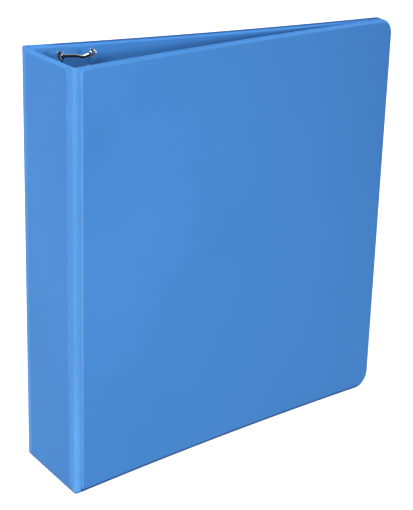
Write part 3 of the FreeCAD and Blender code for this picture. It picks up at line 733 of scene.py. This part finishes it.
leverValues = {
    "lowEnd": -1.0 * mm,
    "lowRise": 2.65 * mm,
    "reach": 8.8 * mm,
    "rise": 3.3 * mm,
    "outline": ((0.0, 2.6), (0.35, 4.4), (0.9, 5.6), (1.8, 6.8),
                (2.7, 7.9), (3.7, 8.8), (5.0, 9.4), (9.8, 10.6), (15.0, 10.6)),
    "halfThick": 0.38 * mm,
    "scoopBack": 0.3 * mm,
    "scoopDown": 0.4 * mm,
    "dentAt": 0.43,
    "dentSpread": 0.36,
    "dentDepth": 1.05 * mm,
    "beadRadius": 0.85 * mm,
    "beadTurn": 235.0,
    "curlStart": (8.5, 5.2, 1.2),
    "curlEnd": (11.3, 11.0, 4.7),
    "curlRadius": 2.35 * mm,
    "curlNarrow": 0.62,
    "curlWall": 0.5 * mm,
    "curlFrom": -115.0,
    "curlTo": (60.0, 210.0),
    "curlShade": 0.3,
    "beadShade": 0.8,
    "beadFrom": 20.0,
    "borderShade": 0.85,
    "borderZone": (0.75 * mm, 0.4 * mm),
    "beadBackShade": 0.985,
    "beadBackShadeFrom": 106.0,
    "beadBackShadeFade": 12.0,
    "beadBackShadeAtDent": 26.0,
    "earShade": 0.6,
    "earEdge": 0.12 * mm,
    "earInner": 6.6 * mm,
    "earOuter": 7.6 * mm,
    "ear": ((-1.9, -3.5), (0.6, -3.5), (3.6, -1.2), (4.7, 1.4), (4.4, 2.9), (0.6, 2.2), (-1.9, 1.9)),
    "tongue": ((-1.9, -4.2), (0.6, -4.2), (0.6, -3.5), (-1.9, -3.5)),
    "tip": ((-5.0, -4.2), (0.0, -4.2), (0.0, -3.5), (-5.0, -3.5)),
    "tipHalf": 3.0 * mm,
}
acrossLever = np.array(joints["lower_lever_press"]["axis"])
offCover = np.array([acrossLever[1], -acrossLever[0], 0.0])


def shieldShell(place):
    # the finger plate: a sheet that runs straight out from the pivot, then rolls forwards into a scooped
    # bead that dips to one side of its middle
    v = leverValues
    slope = math.atan2(v["rise"] - v["lowRise"], v["reach"] - v["lowEnd"])
    straight = (v["reach"] - v["lowEnd"]) / math.cos(slope)
    turn = math.radians(v["beadTurn"])
    s = np.concatenate([np.linspace(0.0, 0.5, 6), np.linspace(0.7, straight / mm, 26)]) * mm
    angle = np.concatenate([np.zeros(len(s)), np.linspace(0.0, turn, 30)[1:]])
    s = np.concatenate([s, straight + v["beadRadius"] * angle[len(s):]])
    along = np.minimum(s, straight)
    heading = slope + angle
    out = v["lowEnd"] + along * math.cos(slope) + v["beadRadius"] * (np.sin(heading) - math.sin(slope))
    up = v["lowRise"] + along * math.sin(slope) - v["beadRadius"] * (np.cos(heading) - math.cos(slope))
    normal = np.stack([-np.sin(heading), np.cos(heading)], -1)
    stations, widths = np.array(v["outline"]).T * mm
    half = np.interp(s, stations, widths)
    across = np.sin(np.linspace(-math.pi / 2, math.pi / 2, 49))
    outwards = smoothRise(s / straight)[:, None]
    scoop = outwards * (1.0 - across ** 2)[None]
    sideways = half[:, None] * across[None]
    toBorder = np.minimum(half[:, None] * (1.0 - np.abs(across)), np.minimum(s, s[-1] - s)[:, None])
    thick = v["halfThick"] * np.sqrt(np.clip(toBorder / (0.4 * mm), 0.02, 1.0))
    dent = np.exp(-((across - v["dentAt"]) / v["dentSpread"]) ** 2)[None] * outwards
    faces = []
    for sign in (1, -1):
        o = out[:, None] + sign * thick * normal[:, :1] - v["scoopDown"] * scoop - v["dentDepth"] * dent
        u = up[:, None] + sign * thick * normal[:, 1:] - v["scoopBack"] * scoop
        faces.append(place(sideways, o, u))
    # the convex side of the bead is the back of the sheet; its lower half and the bead's front carry a
    # painted dark reflection, and the plate's side borders painted shade
    degrees = np.degrees(angle)[:, None]
    paintedShade = smoothRise((degrees - v["beadBackShadeFrom"] - v["beadBackShadeAtDent"] * dent) / v["beadBackShadeFade"])
    border = v["borderShade"] * within(toBorder, v["borderZone"]) * (degrees < v["beadFrom"])
    front = np.maximum(v["beadShade"] * (degrees > v["beadFrom"]), border)
    back = np.maximum(v["beadBackShade"] * paintedShade, border)
    return sheetShell(faces[0], faces[1], shaded=(front, back))


def curlShell(place, side):
    # a side of the finger plate rolled up: an open round section that grows and closes along a slanted line
    v = leverValues
    first, last = (np.array(v[key]) * mm * (side, 1, 1) for key in ("curlStart", "curlEnd"))
    way = (last - first) / np.linalg.norm(last - first)
    outwards = np.array([side, 0.0, 0.0]) - way * way[0] * side
    outwards = outwards / np.linalg.norm(outwards)
    upwards = np.cross(way, outwards) * side
    upwards = upwards * np.sign(upwards[2])
    t = np.linspace(0.0, 1.0, 32)[:, None]
    radius = v["curlRadius"] * (v["curlNarrow"] + (1.0 - v["curlNarrow"]) * smoothRise(t / 0.6))
    opened, closed = v["curlTo"]
    low, high = v["curlFrom"], opened + (closed - opened) * smoothRise(t / 0.7)
    k = np.linspace(0.0, 1.0, 56)[None]
    theta = np.radians(low + (high - low) * k)
    span = np.radians(high - low) * radius
    length = np.linalg.norm(last - first)
    toBorder = np.minimum(np.minimum(k, 1.0 - k) * span, np.minimum(t, 1.0 - t) * length)
    thick = v["curlWall"] / 2 * np.sqrt(np.clip(toBorder / (0.25 * mm), 0.02, 1.0))
    faces = []
    for sign in (1, -1):
        r = (radius - v["curlWall"] / 2 + sign * thick)[..., None]
        centre = first + (last - first) * t[..., None]
        spot = centre + r * (np.cos(theta)[..., None] * outwards + np.sin(theta)[..., None] * upwards)
        faces.append(place(spot[..., 0], spot[..., 1], spot[..., 2]))
    # the inside of the roll carries painted shade
    return sheetShell(faces[0], faces[1], shaded=(0.0, v["curlShade"]))


def profileShell(place, outline, low, high):
    # a flat plate across the lever with the given side outline, its long edges a little rounded
    corners = np.array(outline) * mm
    middle = corners.mean(0)
    edge = leverValues["earEdge"]
    rings = []
    for sideways, shrink in ((low, 0.94), (low + edge, 1.0), (high - edge, 1.0), (high, 0.94)):
        ring = middle + (corners - middle) * shrink
        rings.append(place(np.full(len(ring), sideways), ring[:, 0], ring[:, 1]))
    grid = np.array(rings)
    # the ears, tongue and tip carry painted shade that keeps their edges from shining
    return tubeShell(grid, shaded=np.full(grid.shape[:2], leverValues["earShade"]))


def lever(where):
    # the finger plate with its rolled sides, two ears, and a tongue that reaches under the blades;
    # the lower lever is the mirror image of the upper one
    v = leverValues
    pivot = np.array(joints[where + "_lever_press"]["pos_m"])
    outwards = np.array([0.0, 0.0, 1.0 if where == "upper" else -1.0])

    def place(sideways, out, up):
        sideways, out, up = (np.asarray(value)[..., None] for value in (sideways, out, up))
        return pivot + sideways * acrossLever + out * outwards + up * offCover

    shells = [shieldShell(place), curlShell(place, -1), curlShell(place, 1),
              profileShell(place, v["ear"], v["earInner"], v["earOuter"]),
              profileShell(place, v["ear"], -v["earOuter"], -v["earInner"]),
              profileShell(place, v["tongue"], -v["earOuter"], v["earOuter"]),
              profileShell(place, v["tip"], -v["tipHalf"], v["tipHalf"])]
    piece = newPiece(where + "Lever", shells, 42.0)
    return finishPiece(piece, where + "_lever", brightNickel, [where + "_lever"])


lever("upper")
lever("lower")
print("levers made")


stageValues = {
    "floorSize": 80.0,
    "floorShade": 0.3,
    "floorGlow": 0.85,
    "zenith": 0.72,
    "horizon": 0.42,
}


def floorMaterial():
    # a pale floor that glows a little, so it stays even and light
    tree = NodeTree("palePaper")
    shade = stageValues["floorShade"]
    low, high = (shade * 0.995,) * 3 + (1.0,), (shade,) * 3 + (1.0,)
    tree.set(tree.shader.inputs["Base Color"], tree.mixColour(tree.noise(3.0), low, high))
    tree.set(tree.shader.inputs["Roughness"], 0.9)
    tree.set(tree.shader.inputs["Emission Color"], (1.0, 1.0, 1.0, 1.0))
    tree.set(tree.shader.inputs["Emission Strength"], stageValues["floorGlow"])
    return tree.material


def addFloor():
    # a square on the standing surface
    half = stageValues["floorSize"] / 2
    corners = np.array([[-half, -half, 0], [half, -half, 0], [half, half, 0], [-half, half, 0]])
    mesh = bpy.data.meshes.new("floor")
    mesh.from_pydata(corners.tolist(), [], [[0, 1, 2, 3]])
    mesh.materials.append(floorMaterial())
    floor = bpy.data.objects.new("floor", mesh)
    bpy.context.scene.collection.objects.link(floor)


lightValues = {
    "leftLight": {"place": (-1.5, -0.7, 1.3), "target": (0.0, 0.0, 0.15), "size": 0.9, "power": 47.0},
    "rightLight": {"place": (1.2, -2.55, 0.78), "target": (0.0, 0.0, 0.15), "size": 0.3, "power": 54.0},
    "topLight": {"place": (-0.1, -0.4, 2.4), "target": (0.0, 0.0, 0.1), "size": 1.4, "power": 9.0},
    "backLight": {"place": (0.1, 1.5, 1.9), "target": (-0.05, 0.0, 0.25), "size": 0.8, "power": 52.0},
}


def addArea(name, place, target, size, power):
    # a square area light
    lamp = bpy.data.lights.new(name, "AREA")
    lamp.shape = "RECTANGLE"
    lamp.size = lamp.size_y = size
    lamp.energy = power
    holder = bpy.data.objects.new(name, lamp)
    bpy.context.scene.collection.objects.link(holder)
    way = Vector(target) - Vector(place)
    holder.matrix_world = Matrix.Translation(place) @ way.to_track_quat("-Z", "Y").to_matrix().to_4x4()


def addWorld():
    # a pale studio, brighter overhead
    world = bpy.data.worlds.new("studio")
    world.use_nodes = True
    nodes, links = world.node_tree.nodes, world.node_tree.links
    way = nodes.new("ShaderNodeTexCoord").outputs["Generated"]
    split = nodes.new("ShaderNodeSeparateXYZ")
    links.new(way, split.inputs["Vector"])
    level = nodes.new("ShaderNodeMapRange")
    level.inputs["From Min"].default_value = 0.0
    level.inputs["From Max"].default_value = 0.8
    level.inputs["To Min"].default_value = stageValues["horizon"]
    level.inputs["To Max"].default_value = stageValues["zenith"]
    links.new(split.outputs["Z"], level.inputs["Value"])
    background = nodes["Background"]
    background.inputs["Color"].default_value = (1.0, 1.0, 1.0, 1.0)
    links.new(level.outputs["Result"], background.inputs["Strength"])
    bpy.context.scene.world = world


cameraValues = {
    "fromSpine": (-412.0 * mm, -797.8 * mm, 497.1 * mm),
    "yaw": 33.87,
    "pitch": -20.50,
    "roll": 1.69,
    "lens": 103.2,
}


def addCamera():
    # a camera placed from the spine, turned by yaw, pitch and roll
    v = cameraValues
    yaw, pitch, roll = (math.radians(v[key]) for key in ("yaw", "pitch", "roll"))
    ahead = Vector((math.cos(pitch) * math.sin(yaw), math.cos(pitch) * math.cos(yaw), math.sin(pitch)))
    right = Vector((math.cos(yaw), -math.sin(yaw), 0.0))
    up = right.cross(ahead)
    turnedRight = right * math.cos(roll) + up * math.sin(roll)
    turnedUp = up * math.cos(roll) - right * math.sin(roll)
    lens = bpy.data.cameras.new("studioCamera")
    lens.lens = v["lens"]
    lens.sensor_width = 36.0
    lens.clip_start, lens.clip_end = 0.01, 60.0
    holder = bpy.data.objects.new("studioCamera", lens)
    bpy.context.scene.collection.objects.link(holder)
    place = Matrix((turnedRight, turnedUp, -ahead)).transposed().to_4x4()
    place.translation = Vector(v["fromSpine"]) + Vector((spineX, 0.0, 0.0))
    holder.matrix_world = place
    bpy.context.scene.camera = holder


addFloor()
addWorld()
for name, values in lightValues.items():
    addArea(name, **values)
addCamera()
print("stage made")

bpy.context.scene.view_settings.view_transform = "Standard"
